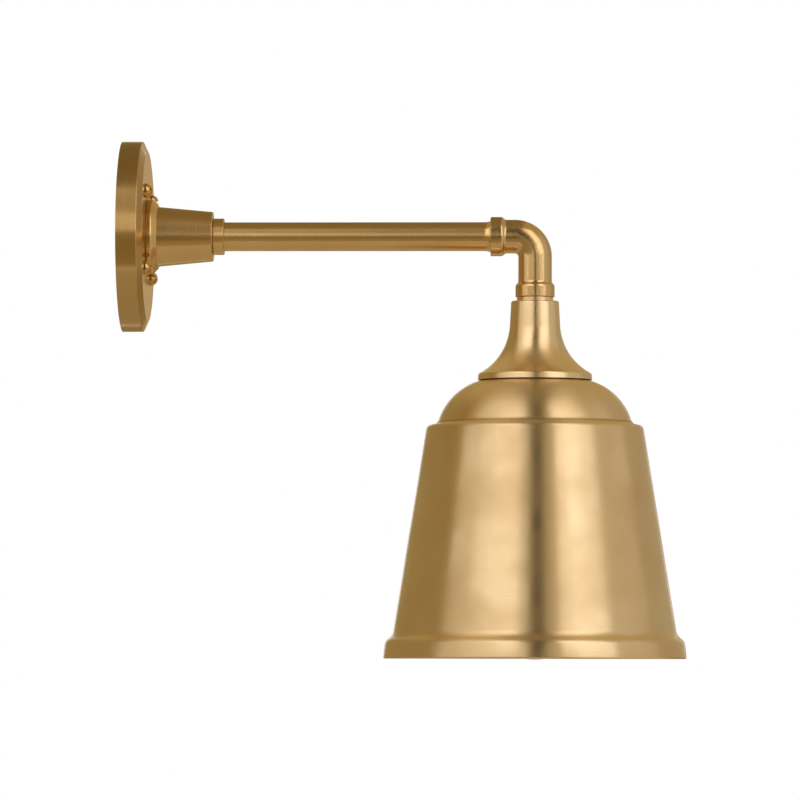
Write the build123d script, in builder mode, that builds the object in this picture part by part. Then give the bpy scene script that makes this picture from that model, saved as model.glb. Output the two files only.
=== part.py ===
from build123d import *
from math import acos, asin, atan2, cos, degrees, radians, sin, tan
import os

# Wall light with a horizontal pipe arm, an elbow and a bell shade that hangs open side down.
# Millimetres. The origin is the middle of the wall plate's back, on the wall.
# +X points out of the wall and +Z points up.

# Wall plate, a shallow cup that hides the mounting plate.
plate_r = 64.0
plate_rim = 13.8
plate_depth = 17.0
plate_face_r = 57.0
plate_wall = 2.0
plate_edge_r = 0.6
entry_r = 5.3

# Round-head screws that hold the wall plate, on one pitch circle a little above its middle.
screw_circle_r = 37.0
screw_circle_z = 1.3
screw_count = 4
screw_start_angle = 40.75
screw_head_r = 4.8
screw_head_rim = 0.6
screw_head_h = 4.7
screw_shank_r = 2.05
screw_length = 15.9
screw_slot_w = 1.3
screw_slot_h = 1.5
screw_slot_turns = (8, -14, 5, 20)
clearance_r = 2.4

# Mounting plate, a steel disc that box screws hold on the wall.
mount_r = 54.0
mount_t = 2.0
mount_opening_r = 16.0
boss_r = 3.8
boss_h = 2.0
box_slot_y = 39.7
box_slot_r = 2.3
box_slot_length = 14.1

# Ground screw and the bare lead from it to the arm's nipple.
ground_screw_z = 28.0
ground_head_r = 4.6
ground_head_h = 0.8
ground_hex_flat = 6.4
ground_hex_h = 2.4
ground_tag_r = 5.4
nut_tag_r = 9.9
ground_tag_t = 1.0
ground_wire_r = 0.8
ground_wire_gap = 0.3
ground_wire_stub = 3.0
ground_wire_bend_r = 2.0
screw_tip_x = 0.5

# Arm socket, a flange and a cone in one casting.
flange_r = 25.2
flange_rim = 3.4
flange_depth = 7.0
flange_top_r = 21.5
cone_base_r = 20.1
cone_end_r = 16.65
cone_end_x = 60.9
socket_web = 10.0
socket_bore_x = 30.0
flange_foot_round = 0.8
flange_rim_round = 2.4
flange_top_round = 0.5
cone_mouth_round = 0.6

# Threaded tubes, with the washers and nuts that they carry.
thread_r = 5.0
thread_bore_r = 3.6
socket_nipple_x = 7.9
washer_t = 0.9
washer_r = 9.0
nut_flat = 16.0
nut_t = 3.0
nut_edge = 0.5

# Arm.
line_gap = 0.3
collar_r = 12.27
collar_end_x = 68.3
soft_edge = 0.4
near = 0.01
pipe_r = 9.7
pipe_bore_r = 8.2
pipe_flare_r = 10.5
pipe_flare_x = 243.4
pipe_end_x = 247.2
spigot_r = 9.2
spigot_end_x = 260.0

# Elbow, cast in one piece with a bead at each mouth.
reach = 277.4
elbow_r = 11.3
elbow_bore_r = 7.5
bend_r = 13.5
bead_r = 13.2
bead_round = 0.6
bead_flat = 6.8
bead_fade_end = 11.0
elbow_foot_z = -40.8
drop_thread_top_z = -26.0
seat_ring_r = 12.2

# Neck, a hollow trumpet turned from one piece.
neck_top_z = -43.4
neck_edge_r = 1.2
neck_lean = 3.1
trumpet_r = 38.8
trumpet_centre = (55.65, -57.6)
neck_lip_r = 38.2
neck_lip_round = 2.0
neck_foot_r = 38.5
neck_foot_z = -96.5
neck_wall = 2.0
neck_seat_r = 33.0
neck_seat_h = 3.0

# Shade, spun from sheet: dome, groove, shoulder, straight skirt and flared rim. Each stretch
# runs smoothly into the next. A lean is in degrees outwards from straight down.
shade_wall = 1.2
dome_r = 40.2
dome_centre = (26.3, -135.65)
groove_start_z = -122.9
groove_r = 5.55
groove_lean = 88.6
shoulder_r = 3.57
skirt_lean = 9.18
skirt_low_z = -264.35
flare_r = 8.2
flare_lean = 56.7
rim_corner_r = 4.95
rim_lean = 7.1
rim_low_r = 101.6
rim_z = -283.3
hem_r = 1.35

# Nipple, washer and nut that clamp the shade and the neck, and carry the lampholder.
drop_nipple_low_z = -118.0
shade_washer_r = 17.0
shade_washer_t = 1.5
shade_nut_t = 4.0

# Lampholder: steel bracket, porcelain body and the contacts inside it.
bracket_r = 16.5
bracket_t = 1.6
hub_r = 7.6
hub_h = 8.0
porcelain_r = 19.5
porcelain_top_r = 17.8
porcelain_shoulder = 2.0
porcelain_edge_r = 1.5
porcelain_low_z = -176.0
well_floor_z = -147.0
well_r = 15.0
chamber_half_x = 6.8
chamber_floor_z = -134.0
bracket_screw_x = 9.8
bracket_screw_r = 1.6
bracket_head_r = 2.9
bracket_head_h = 1.9
terminal_y = 12.0
terminal_t = 2.2
terminal_size = 9.0
terminal_screw_x = 2.3
terminal_screw_r = 1.5
terminal_screw_low_z = -138.0
terminal_head_r = 3.0
terminal_head_h = 2.0
small_slot_w = 0.8
strip_w = 5.0
strip_t = 0.6
live_leg_y = -9.0
neutral_leg_y = 14.2
contact_shelf = 4.0
contact_curl = 1.5

# Medium lamp thread, drawn as a wave. The cap's crests pass inside the shell's crests.
thread_pitch = 3.6
thread_swing = 0.32
cap_mean_r = 12.72
cap_bore_r = 12.0
cap_turns = 5
cap_skirt = 2.5
shell_mean_r = 13.75
shell_wall = 0.45
shell_turns = 6
shell_top_z = -148.4

# Lamp, a clear pear bulb whose tip comes just below the shade's rim.
lamp_tip_z = rim_z - 0.7
lamp_length = 132.6
lamp_r = 33.5
lamp_neck_r = 14.0
lamp_neck_z = -190.0
glass_wall = 0.8
glass_lip = 1.0
seal_r = 11.9
seal_top_z = -171.0
contact_r = 4.6
contact_tip_r = 2.0
contact_h = 1.8
insulator_h = 4.2
stem_flare_z = -173.0
stem_throat = (4.5, -184.0)
stem_r = 2.6
stem_low_z = -222.0
support_r = 0.4
support_y = 1.6
support_bend_z = -228.0
support_bend_r = 1.5
filament_r = 0.4
filament_half = 11.0
filament_z = -244.0
filament_rise = 3.5
filament_drop = 3.0

# Leads, which run inside the arm from the plate's cavity to the lampholder.
lead_r = 1.2
conductor_r = 0.5
lead_y = 1.6
lead_tuck_x = 4.1
lead_tuck_r = 3.7
lead_tail = (9.0, -33.0)
lead_bend_r = 12.0
lead_foot_r = 4.5
lead_foot_z = -131.3
lead_end_y = 7.4
conductor_end_y = 15.5
bare_length = 9.0

# Places worked out from the sizes above.
collar_start_x = cone_end_x + line_gap
bead_start_x = pipe_end_x + line_gap
bend_x = reach - bend_r
hem_z = rim_z + hem_r
hem_middle_r = rim_low_r - hem_r
shade_inside_z = neck_foot_z - shade_wall
shade_nut_top_z = shade_inside_z - shade_washer_t
bracket_low_z = drop_nipple_low_z - bracket_t
terminal_top_z = chamber_floor_z + terminal_t
socket_back_x = plate_depth - plate_wall
ground_tag_x = mount_t + boss_h
nut_back_x = socket_back_x - washer_t - ground_tag_t
lamp_top_z = lamp_tip_z + lamp_length
cap_top_z = lamp_top_z - contact_h - insulator_h
ball_z = lamp_tip_z + lamp_r

# Turned parts of the arm are drawn as (x, radius), those of the drop as (radius, z).
arm_side = Plane.XZ
drop_side = Plane(origin=(reach, 0, 0), x_dir=(1, 0, 0), z_dir=(0, -1, 0))
drop_axis = Axis((reach, 0, 0), (0, 0, 1))
drop_end_on = Plane(origin=(reach, 0, 0), x_dir=(0, 1, 0), z_dir=(1, 0, 0))

os.makedirs("parts", exist_ok=True)


def level(z):
    """The horizontal plane at a height, centred on the drop."""
    return Plane(origin=(reach, 0, z), x_dir=(1, 0, 0), z_dir=(0, 0, 1))


def draw_wave(mean_r, top_z, turns):
    """Draws the side of a knuckle thread, from the top down, as arcs that swell out and in."""
    for half in range(2 * turns):
        high = top_z - half * thread_pitch / 2
        low = high - thread_pitch / 2
        swing = thread_swing if half % 2 == 0 else -thread_swing
        ThreePointArc((mean_r, high), (mean_r + swing, (high + low) / 2), (mean_r, low))


def save(piece, name):
    """Labels a finished piece and writes it to its own file."""
    piece.part.label = name
    export_step(piece.part, f"parts/{name}.step")


# Wall side ---------------------------------------------------------------------------

with BuildPart() as wall_plate:
    with BuildSketch(arm_side):
        with BuildLine():
            Polyline(
                (0, 0),
                (0, plate_r),
                (plate_rim, plate_r),
                (plate_depth, plate_face_r),
                (plate_depth, 0),
                close=True,
            )
        make_face()
    revolve(axis=Axis.X)
    offset(amount=-plate_wall, openings=wall_plate.faces().sort_by(Axis.X)[0])
    with BuildSketch(Plane.YZ.offset(plate_depth)):
        Circle(entry_r)
        with Locations((0, screw_circle_z)):
            with PolarLocations(screw_circle_r, screw_count, screw_start_angle):
                Circle(clearance_r)
    extrude(amount=-plate_wall, mode=Mode.SUBTRACT)
    rim_edge = wall_plate.edges().filter_by_position(Axis.X, plate_rim, plate_rim)
    face_edge = wall_plate.edges().group_by(Axis.X)[-1].sort_by(SortBy.LENGTH)[-1]
    fillet(rim_edge, radius=plate_edge_r)
    fillet(face_edge, radius=2 * plate_edge_r)
save(wall_plate, "wall_plate")

with BuildPart() as mounting_plate:
    with BuildSketch(Plane.YZ):
        Circle(mount_r)
    extrude(amount=mount_t)
    with BuildSketch(Plane.YZ.offset(mount_t)):
        with Locations((0, screw_circle_z)):
            with PolarLocations(screw_circle_r, screw_count, screw_start_angle):
                Circle(boss_r)
        with Locations((0, ground_screw_z)):
            Circle(boss_r)
    extrude(amount=boss_h)
    with BuildSketch(Plane.YZ):
        Circle(mount_opening_r)
        with Locations((0, screw_circle_z)):
            with PolarLocations(screw_circle_r, screw_count, screw_start_angle):
                Circle(screw_shank_r)
        with Locations((0, ground_screw_z)):
            Circle(screw_shank_r)
        with Locations((-box_slot_y, 0), (box_slot_y, 0)):
            SlotOverall(box_slot_length, 2 * box_slot_r)
    extrude(amount=mount_t + boss_h, mode=Mode.SUBTRACT)
save(mounting_plate, "mounting_plate")

# One screw stands on the origin with its head up, and is copied to its four places.
with BuildPart() as screw_blank:
    with BuildSketch(Plane.XZ):
        with BuildLine():
            Polyline(
                (0, screw_head_h),
                (0, -screw_length),
                (screw_shank_r - soft_edge, -screw_length),
                (screw_shank_r, -screw_length + soft_edge),
                (screw_shank_r, 0),
                (screw_head_r, 0),
                (screw_head_r, screw_head_rim),
            )
            TangentArc((0, screw_head_h), (screw_head_r, screw_head_rim), tangent=(1, 0))
        make_face()
    revolve(axis=Axis.Z)
    with BuildSketch(Plane.XY.offset(screw_head_h)):
        Rectangle(3 * screw_head_r, screw_slot_w)
    extrude(amount=-screw_slot_h, mode=Mode.SUBTRACT)

screw_ring = PolarLocations(screw_circle_r, screw_count, screw_start_angle, rotate=False)
plate_front = Plane.YZ.offset(plate_depth).location * Pos(0, screw_circle_z)
screw_places = [
    plate_front * spot * Rotation(0, 0, turn) for spot, turn in zip(screw_ring, screw_slot_turns)
]
with BuildPart() as plate_screws:
    with Locations(*screw_places):
        add(screw_blank.part)
save(plate_screws, "plate_screws")

with BuildPart() as ground_screw:
    with BuildSketch(Plane(origin=(screw_tip_x, 0, ground_screw_z), z_dir=(1, 0, 0))):
        Circle(screw_shank_r)
    extrude(amount=ground_tag_x + ground_tag_t - screw_tip_x)
    with BuildSketch(ground_screw.faces().sort_by(Axis.X)[-1]):
        Circle(ground_head_r)
    extrude(amount=ground_head_h)
    with BuildSketch(ground_screw.faces().sort_by(Axis.X)[-1]):
        RegularPolygon(ground_hex_flat / 2, 6, major_radius=False)
    extrude(amount=ground_hex_h)
    with BuildSketch(ground_screw.faces().sort_by(Axis.X)[-1]):
        Rectangle(2 * ground_head_r, screw_slot_w)
    extrude(amount=-ground_hex_h / 2, mode=Mode.SUBTRACT)
save(ground_screw, "ground_screw")

# The ground lead is one copper wire with a flat tag at each end.
ground_tag_middle = ground_tag_x + ground_tag_t / 2
nut_tag_middle = nut_back_x + ground_tag_t / 2
ground_wire_top_z = ground_screw_z - ground_head_r - ground_wire_gap
ground_wire_low_z = washer_r + ground_wire_gap
with BuildPart() as ground_lead:
    with BuildSketch(Plane(origin=(ground_tag_x, 0, ground_screw_z), z_dir=(1, 0, 0))):
        Circle(ground_tag_r)
    extrude(amount=ground_tag_t)
    with BuildSketch(Plane.YZ.offset(nut_back_x)):
        Circle(nut_tag_r)
    extrude(amount=ground_tag_t)
    with BuildLine() as ground_route:
        FilletPolyline(
            (ground_tag_middle, 0, ground_wire_top_z),
            (ground_tag_middle, 0, ground_wire_top_z - ground_wire_stub),
            (nut_tag_middle, 0, ground_wire_low_z + ground_wire_stub),
            (nut_tag_middle, 0, ground_wire_low_z),
            radius=ground_wire_bend_r,
        )
    with BuildSketch(Plane(ground_route.line @ 0, z_dir=ground_route.line % 0)):
        Circle(ground_wire_r)
    sweep()
    with BuildSketch(Plane(origin=(ground_tag_x, 0, ground_screw_z), z_dir=(1, 0, 0))):
        Circle(screw_shank_r)
    extrude(amount=ground_tag_t, mode=Mode.SUBTRACT)
    with BuildSketch(Plane.YZ.offset(nut_back_x)):
        Circle(thread_r)
    extrude(amount=ground_tag_t, mode=Mode.SUBTRACT)
save(ground_lead, "ground_lead")

# Arm ---------------------------------------------------------------------------------

with BuildPart() as arm_socket:
    with BuildSketch(arm_side):
        with BuildLine():
            Polyline(
                (plate_depth, thread_r),
                (plate_depth, flange_r),
                (plate_depth + flange_rim, flange_r),
                (plate_depth + flange_depth, flange_top_r),
                (plate_depth + flange_depth, cone_base_r),
                (cone_end_x, cone_end_r),
                (cone_end_x, pipe_r),
                (socket_bore_x, pipe_r),
                (socket_bore_x, pipe_bore_r),
                (plate_depth + socket_web, pipe_bore_r),
                (plate_depth + socket_web, thread_r),
                close=True,
            )
        make_face()
    revolve(axis=Axis.X)
    socket_rings = arm_socket.edges().filter_by(GeomType.CIRCLE)
    widest_rings = socket_rings.filter_by(lambda ring: ring.radius > flange_r - near)
    fillet(widest_rings.sort_by(Axis.X)[0], flange_foot_round)
    socket_rings = arm_socket.edges().filter_by(GeomType.CIRCLE)
    flange_rim_x = plate_depth + flange_rim
    fillet(socket_rings.filter_by_position(Axis.X, flange_rim_x, flange_rim_x), flange_rim_round)
    socket_rings = arm_socket.edges().filter_by(GeomType.CIRCLE)
    top_ring = socket_rings.filter_by(lambda ring: abs(ring.radius - flange_top_r) < near)
    fillet(top_ring, flange_top_round)
    fillet(arm_socket.edges().group_by(Axis.X)[-1].sort_by(SortBy.RADIUS)[-1], cone_mouth_round)
save(arm_socket, "arm_socket")

with BuildPart() as socket_nipple:
    with BuildSketch(Plane.YZ.offset(socket_nipple_x)):
        Circle(thread_r)
        Circle(thread_bore_r, mode=Mode.SUBTRACT)
    extrude(amount=plate_depth + socket_web - socket_nipple_x)
    chamfer(socket_nipple.edges().group_by(Axis.X)[0].sort_by(SortBy.RADIUS)[-1], nut_edge)
save(socket_nipple, "socket_nipple")

with BuildPart() as socket_washer:
    with BuildSketch(Plane.YZ.offset(socket_back_x - washer_t)):
        Circle(washer_r)
        Circle(thread_r, mode=Mode.SUBTRACT)
    extrude(amount=washer_t)
save(socket_washer, "socket_washer")

with BuildPart() as socket_nut:
    with BuildSketch(Plane.YZ.offset(nut_back_x - nut_t)):
        RegularPolygon(nut_flat / 2, 6, major_radius=False)
        Circle(thread_r, mode=Mode.SUBTRACT)
    extrude(amount=nut_t)
save(socket_nut, "socket_nut")

with BuildPart() as arm_collar:
    with BuildSketch(Plane.YZ.offset(collar_start_x)):
        Circle(collar_r)
        Circle(pipe_r, mode=Mode.SUBTRACT)
    extrude(amount=collar_end_x - collar_start_x)
    collar_rims = arm_collar.edges().filter_by(GeomType.CIRCLE).group_by(SortBy.RADIUS)[-1]
    fillet(collar_rims, soft_edge)
save(arm_collar, "arm_collar")

with BuildPart() as arm_pipe:
    with BuildSketch(arm_side):
        with BuildLine():
            Polyline(
                (pipe_end_x, pipe_flare_r),
                (pipe_end_x, spigot_r),
                (spigot_end_x, spigot_r),
                (spigot_end_x, pipe_bore_r),
                (socket_bore_x, pipe_bore_r),
                (socket_bore_x, pipe_r),
                (pipe_flare_x, pipe_r),
            )
            TangentArc((pipe_flare_x, pipe_r), (pipe_end_x, pipe_flare_r), tangent=(1, 0))
        make_face()
    revolve(axis=Axis.X)
save(arm_pipe, "arm_pipe")

# Elbow and seat ring -----------------------------------------------------------------

# One leg of the elbow stands on the origin with its beaded mouth down.
leg_length = bend_x - bead_start_x
fade_middle = (bead_flat + bead_fade_end) / 2
with BuildPart() as elbow_leg:
    with BuildSketch(Plane.XZ):
        with BuildLine():
            Polyline(
                (elbow_r, bead_fade_end),
                (elbow_r, leg_length),
                (0, leg_length),
                (0, 0),
                (bead_r - bead_round, 0),
            )
            TangentArc((bead_r, bead_round), (bead_r - bead_round, 0), tangent=(0, -1))
            Line((bead_r, bead_round), (bead_r, bead_flat))
            half_way = ((bead_r + elbow_r) / 2, fade_middle)
            TangentArc((bead_r, bead_flat), half_way, tangent=(0, 1))
            TangentArc((elbow_r, bead_fade_end), half_way, tangent=(0, -1))
        make_face()
    revolve(axis=Axis.Z)

with BuildPart() as elbow:
    with Locations(Plane.YZ.offset(bead_start_x).location, level(elbow_foot_z).location):
        add(elbow_leg.part)
    with BuildSketch(level(elbow_foot_z + leg_length)):
        Circle(elbow_r)
    extrude(amount=-bend_r - elbow_foot_z - leg_length)
    with BuildSketch(Plane.YZ.offset(bend_x)):
        Circle(elbow_r)
    revolve(axis=Axis((bend_x, 0, -bend_r), (0, 1, 0)), revolution_arc=90)
    with BuildSketch(Plane.YZ.offset(bend_x)):
        Circle(elbow_bore_r)
    revolve(axis=Axis((bend_x, 0, -bend_r), (0, 1, 0)), revolution_arc=90, mode=Mode.SUBTRACT)
    with BuildSketch(Plane.YZ.offset(bead_start_x)):
        Circle(elbow_bore_r)
    extrude(amount=leg_length, mode=Mode.SUBTRACT)
    with BuildSketch(Plane.YZ.offset(bead_start_x)):
        Circle(spigot_r)
    extrude(amount=spigot_end_x - bead_start_x, mode=Mode.SUBTRACT)
    with BuildSketch(level(elbow_foot_z)):
        Circle(thread_r)
    extrude(amount=-bend_r - elbow_foot_z, mode=Mode.SUBTRACT)
    with BuildSketch(level(drop_thread_top_z)):
        Circle(elbow_bore_r)
    extrude(amount=-bend_r - drop_thread_top_z, mode=Mode.SUBTRACT)
save(elbow, "elbow")

with BuildPart() as seat_ring:
    with BuildSketch(level(neck_top_z)):
        Circle(seat_ring_r)
        Circle(thread_r, mode=Mode.SUBTRACT)
    extrude(amount=elbow_foot_z - neck_top_z)
    fillet(seat_ring.edges().group_by(Axis.Z)[-1].sort_by(SortBy.RADIUS)[-1], soft_edge)
save(seat_ring, "seat_ring")

# Neck and shade ----------------------------------------------------------------------

trumpet_sweep = degrees(acos((trumpet_centre[0] - neck_lip_r) / trumpet_r)) - neck_lean
with BuildPart() as neck:
    with BuildSketch(drop_side):
        with BuildLine():
            trumpet = CenterArc(trumpet_centre, trumpet_r, 180 + neck_lean, trumpet_sweep)
            waist = trumpet @ 0
            neck_top_r = waist.X - tan(radians(neck_lean)) * (neck_top_z - waist.Y)
            Polyline(
                waist,
                (neck_top_r, neck_top_z),
                (0, neck_top_z),
                (0, neck_foot_z),
                (neck_foot_r, neck_foot_z),
                trumpet @ 1,
            )
        make_face()
    revolve(axis=drop_axis)
    offset(amount=-neck_wall, openings=neck.faces().sort_by(Axis.Z)[0])
    with BuildSketch(level(neck_foot_z)):
        Circle(neck_foot_r - neck_wall)
        Circle(neck_seat_r, mode=Mode.SUBTRACT)
    extrude(amount=neck_seat_h)
    with BuildSketch(level(neck_top_z)):
        Circle(thread_r)
    extrude(amount=-neck_wall, mode=Mode.SUBTRACT)
    fillet(neck.edges().group_by(Axis.Z)[-1].sort_by(SortBy.RADIUS)[-1], neck_edge_r)
    fillet(neck.edges().group_by(Axis.Z)[0].sort_by(SortBy.RADIUS)[-1], soft_edge)
    lip_edges = neck.edges().filter_by(GeomType.CIRCLE).sort_by(SortBy.RADIUS)
    fillet(lip_edges.filter_by(lambda ring: abs(ring.radius - neck_lip_r) < near), neck_lip_round)
save(neck, "neck")

dome_start = degrees(asin((neck_foot_z - dome_centre[1]) / dome_r))
dome_lean = degrees(asin((groove_start_z - dome_centre[1]) / dome_r))
with BuildPart() as shade:
    with BuildSketch(drop_side):
        with BuildLine():
            dome = CenterArc(dome_centre, dome_r, dome_start, dome_lean - dome_start)
            groove = JernArc(dome @ 1, dome % 1, groove_r, groove_lean - dome_lean)
            shoulder = JernArc(groove @ 1, groove % 1, shoulder_r, skirt_lean - groove_lean)
            skirt_drop = (shoulder @ 1).Y - skirt_low_z
            skirt_length = skirt_drop / cos(radians(skirt_lean))
            skirt = PolarLine(shoulder @ 1, skirt_length, direction=shoulder % 1)
            flare = JernArc(skirt @ 1, skirt % 1, flare_r, flare_lean - skirt_lean)
            rim_corner = JernArc(flare @ 1, flare % 1, rim_corner_r, rim_lean - flare_lean)
            Polyline(
                rim_corner @ 1,
                (rim_low_r, hem_z),
                (0, hem_z),
                (0, neck_foot_z),
                dome @ 0,
            )
        make_face()
    revolve(axis=drop_axis)
    offset(amount=-shade_wall, openings=shade.faces().sort_by(Axis.Z)[0])
    with BuildSketch(drop_side):
        with Locations((hem_middle_r, hem_z)):
            Circle(hem_r)
    revolve(axis=drop_axis)
    with BuildSketch(level(neck_foot_z)):
        Circle(thread_r)
    extrude(amount=-shade_wall, mode=Mode.SUBTRACT)
save(shade, "shade")

with BuildPart() as drop_nipple:
    with BuildSketch(level(drop_nipple_low_z)):
        Circle(thread_r)
        Circle(thread_bore_r, mode=Mode.SUBTRACT)
    extrude(amount=drop_thread_top_z - drop_nipple_low_z)
save(drop_nipple, "drop_nipple")

with BuildPart() as shade_washer:
    with BuildSketch(level(shade_nut_top_z)):
        Circle(shade_washer_r)
        Circle(thread_r, mode=Mode.SUBTRACT)
    extrude(amount=shade_washer_t)
    fillet(shade_washer.edges().group_by(Axis.Z)[0].sort_by(SortBy.RADIUS)[-1], soft_edge)
save(shade_washer, "shade_washer")

with BuildPart() as shade_nut:
    with BuildSketch(level(shade_nut_top_z - shade_nut_t)):
        RegularPolygon(nut_flat / 2, 6, major_radius=False)
        Circle(thread_r, mode=Mode.SUBTRACT)
    extrude(amount=shade_nut_t)
save(shade_nut, "shade_nut")

# Lampholder --------------------------------------------------------------------------

bracket_screw_spots = [(-bracket_screw_x, 0), (bracket_screw_x, 0)]
terminal_screw_spots = {-1: (terminal_screw_x, -terminal_y), 1: (terminal_screw_x, terminal_y)}

with BuildPart() as holder_bracket:
    with BuildSketch(level(bracket_low_z)):
        Circle(bracket_r)
    extrude(amount=bracket_t)
    with BuildSketch(level(drop_nipple_low_z)):
        Circle(hub_r)
    extrude(amount=hub_h)
    with BuildSketch(level(drop_nipple_low_z)):
        Circle(thread_r)
    extrude(amount=hub_h, mode=Mode.SUBTRACT)
    with BuildSketch(level(bracket_low_z)):
        Circle(thread_bore_r)
        with Locations(*bracket_screw_spots):
            Circle(bracket_screw_r)
    extrude(amount=bracket_t, mode=Mode.SUBTRACT)
    fillet(holder_bracket.edges().group_by(Axis.Z)[-1].sort_by(SortBy.RADIUS)[-1], soft_edge)
save(holder_bracket, "holder_bracket")

with BuildPart() as holder_body:
    with BuildSketch(drop_side):
        with BuildLine():
            Polyline(
                (0, bracket_low_z),
                (porcelain_top_r, bracket_low_z),
                (porcelain_r, bracket_low_z - porcelain_shoulder),
                (porcelain_r, porcelain_low_z),
                (well_r, porcelain_low_z),
                (well_r, well_floor_z),
                (0, well_floor_z),
                close=True,
            )
        make_face()
    revolve(axis=drop_axis)
    fillet(holder_body.edges().group_by(Axis.Z)[0], porcelain_edge_r)
    with BuildSketch(level(chamber_floor_z)):
        Rectangle(2 * chamber_half_x, 2 * porcelain_r)
    extrude(amount=bracket_low_z - chamber_floor_z, mode=Mode.SUBTRACT)
    with BuildSketch(level(well_floor_z)):
        with Locations(*bracket_screw_spots):
            Circle(bracket_screw_r)
    extrude(amount=bracket_low_z - well_floor_z, mode=Mode.SUBTRACT)
    with BuildSketch(level(terminal_screw_low_z)):
        with Locations(*terminal_screw_spots.values()):
            Circle(terminal_screw_r)
    extrude(amount=chamber_floor_z - terminal_screw_low_z, mode=Mode.SUBTRACT)
    with BuildSketch(level(well_floor_z)):
        with Locations((0, live_leg_y), (0, neutral_leg_y)):
            Rectangle(strip_w, strip_t)
    extrude(amount=chamber_floor_z - well_floor_z, mode=Mode.SUBTRACT)
save(holder_body, "holder_body")

with BuildPart() as bracket_screws:
    with BuildSketch(level(well_floor_z - bracket_head_h)):
        with Locations(*bracket_screw_spots):
            Circle(bracket_head_r)
    extrude(amount=bracket_head_h)
    fillet(bracket_screws.edges().group_by(Axis.Z)[0], soft_edge)
    with BuildSketch(level(well_floor_z - bracket_head_h)):
        with Locations(*bracket_screw_spots):
            Rectangle(3 * bracket_head_r, small_slot_w)
    extrude(amount=small_slot_w, mode=Mode.SUBTRACT)
    with BuildSketch(level(well_floor_z)):
        with Locations(*bracket_screw_spots):
            Circle(bracket_screw_r)
    extrude(amount=drop_nipple_low_z - well_floor_z)
save(bracket_screws, "bracket_screws")

for side, name in ((-1, "live_terminal"), (1, "neutral_terminal")):
    with BuildPart() as terminal:
        with BuildSketch(level(chamber_floor_z)):
            with Locations((0, side * terminal_y)):
                Rectangle(terminal_size, terminal_size)
            with Locations(terminal_screw_spots[side]):
                Circle(terminal_screw_r, mode=Mode.SUBTRACT)
        extrude(amount=terminal_t)
    save(terminal, name)
    with BuildPart() as terminal_screw:
        with BuildSketch(level(terminal_screw_low_z)):
            with Locations(terminal_screw_spots[side]):
                Circle(terminal_screw_r)
        extrude(amount=terminal_top_z + 2 * conductor_r - terminal_screw_low_z)
        with BuildSketch(terminal_screw.faces().sort_by(Axis.Z)[-1]):
            Circle(terminal_head_r)
        extrude(amount=terminal_head_h)
        fillet(terminal_screw.edges().group_by(Axis.Z)[-1], soft_edge)
        with BuildSketch(terminal_screw.faces().sort_by(Axis.Z)[-1]):
            Rectangle(3 * terminal_head_r, small_slot_w)
        extrude(amount=-small_slot_w, mode=Mode.SUBTRACT)
    save(terminal_screw, f"{name}_screw")

# The live strip drops through the porcelain, bends along the floor and reaches down to the lamp.
with BuildPart() as centre_contact:
    with BuildSketch(drop_end_on):
        with BuildLine():
            Polyline(
                (live_leg_y, chamber_floor_z),
                (live_leg_y, well_floor_z - strip_t / 2),
                (live_leg_y + contact_shelf, well_floor_z - strip_t / 2),
                (-contact_tip_r, lamp_top_z + strip_t / 2),
                (contact_tip_r, lamp_top_z + strip_t / 2),
                (contact_tip_r + contact_curl, lamp_top_z + contact_curl),
            )
        trace(line_width=strip_t)
    extrude(amount=strip_w / 2, both=True)
save(centre_contact, "centre_contact")

with BuildPart() as shell_strap:
    with BuildSketch(level(shell_top_z)):
        with Locations((0, neutral_leg_y)):
            Rectangle(strip_w, strip_t)
    extrude(amount=chamber_floor_z - shell_top_z)
save(shell_strap, "shell_strap")

shell_low_z = shell_top_z - shell_turns * thread_pitch
with BuildPart() as screw_shell:
    with BuildSketch(drop_side):
        with BuildLine():
            draw_wave(shell_mean_r, shell_top_z, shell_turns)
            Line((shell_mean_r, shell_low_z), (shell_mean_r + shell_wall, shell_low_z))
            draw_wave(shell_mean_r + shell_wall, shell_top_z, shell_turns)
            Line((shell_mean_r + shell_wall, shell_top_z), (shell_mean_r, shell_top_z))
        make_face()
        with Locations(((shell_mean_r + well_r) / 2, shell_top_z - shell_wall / 2)):
            Rectangle(well_r - shell_mean_r, shell_wall)
    revolve(axis=drop_axis)
save(screw_shell, "screw_shell")

# Leads -------------------------------------------------------------------------------


def lead_route(side, bare):
    """Corners of a lead's route, from its tail in the plate's cavity to its terminal."""
    tail_y, tail_z = lead_tail
    run = Vector(0, tail_y - lead_y, tail_z).normalized() * bare
    end_y = conductor_end_y if bare else lead_end_y
    return [
        (lead_tuck_x, side * (tail_y + run.Y), tail_z + run.Z),
        (lead_tuck_x, side * lead_y, 0),
        (reach, side * lead_y, 0),
        (reach, side * lead_y, lead_foot_z),
        (reach, side * end_y, lead_foot_z),
    ]


lead_corner_radii = [lead_tuck_r, lead_bend_r, lead_foot_r]
for side, name in ((-1, "live"), (1, "neutral")):
    with BuildPart() as conductor:
        with BuildLine() as bare_route:
            FilletPolyline(*lead_route(side, bare_length), radius=lead_corner_radii)
        with BuildSketch(Plane(bare_route.line @ 0, z_dir=bare_route.line % 0)):
            Circle(conductor_r)
        sweep()
    save(conductor, f"{name}_conductor")
    with BuildPart() as lead:
        with BuildLine() as covered_route:
            FilletPolyline(*lead_route(side, 0), radius=lead_corner_radii)
        with BuildSketch(Plane(covered_route.line @ 0, z_dir=covered_route.line % 0)):
            Circle(lead_r)
            Circle(conductor_r, mode=Mode.SUBTRACT)
        sweep()
    save(lead, f"{name}_lead")

# Lamp --------------------------------------------------------------------------------

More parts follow.
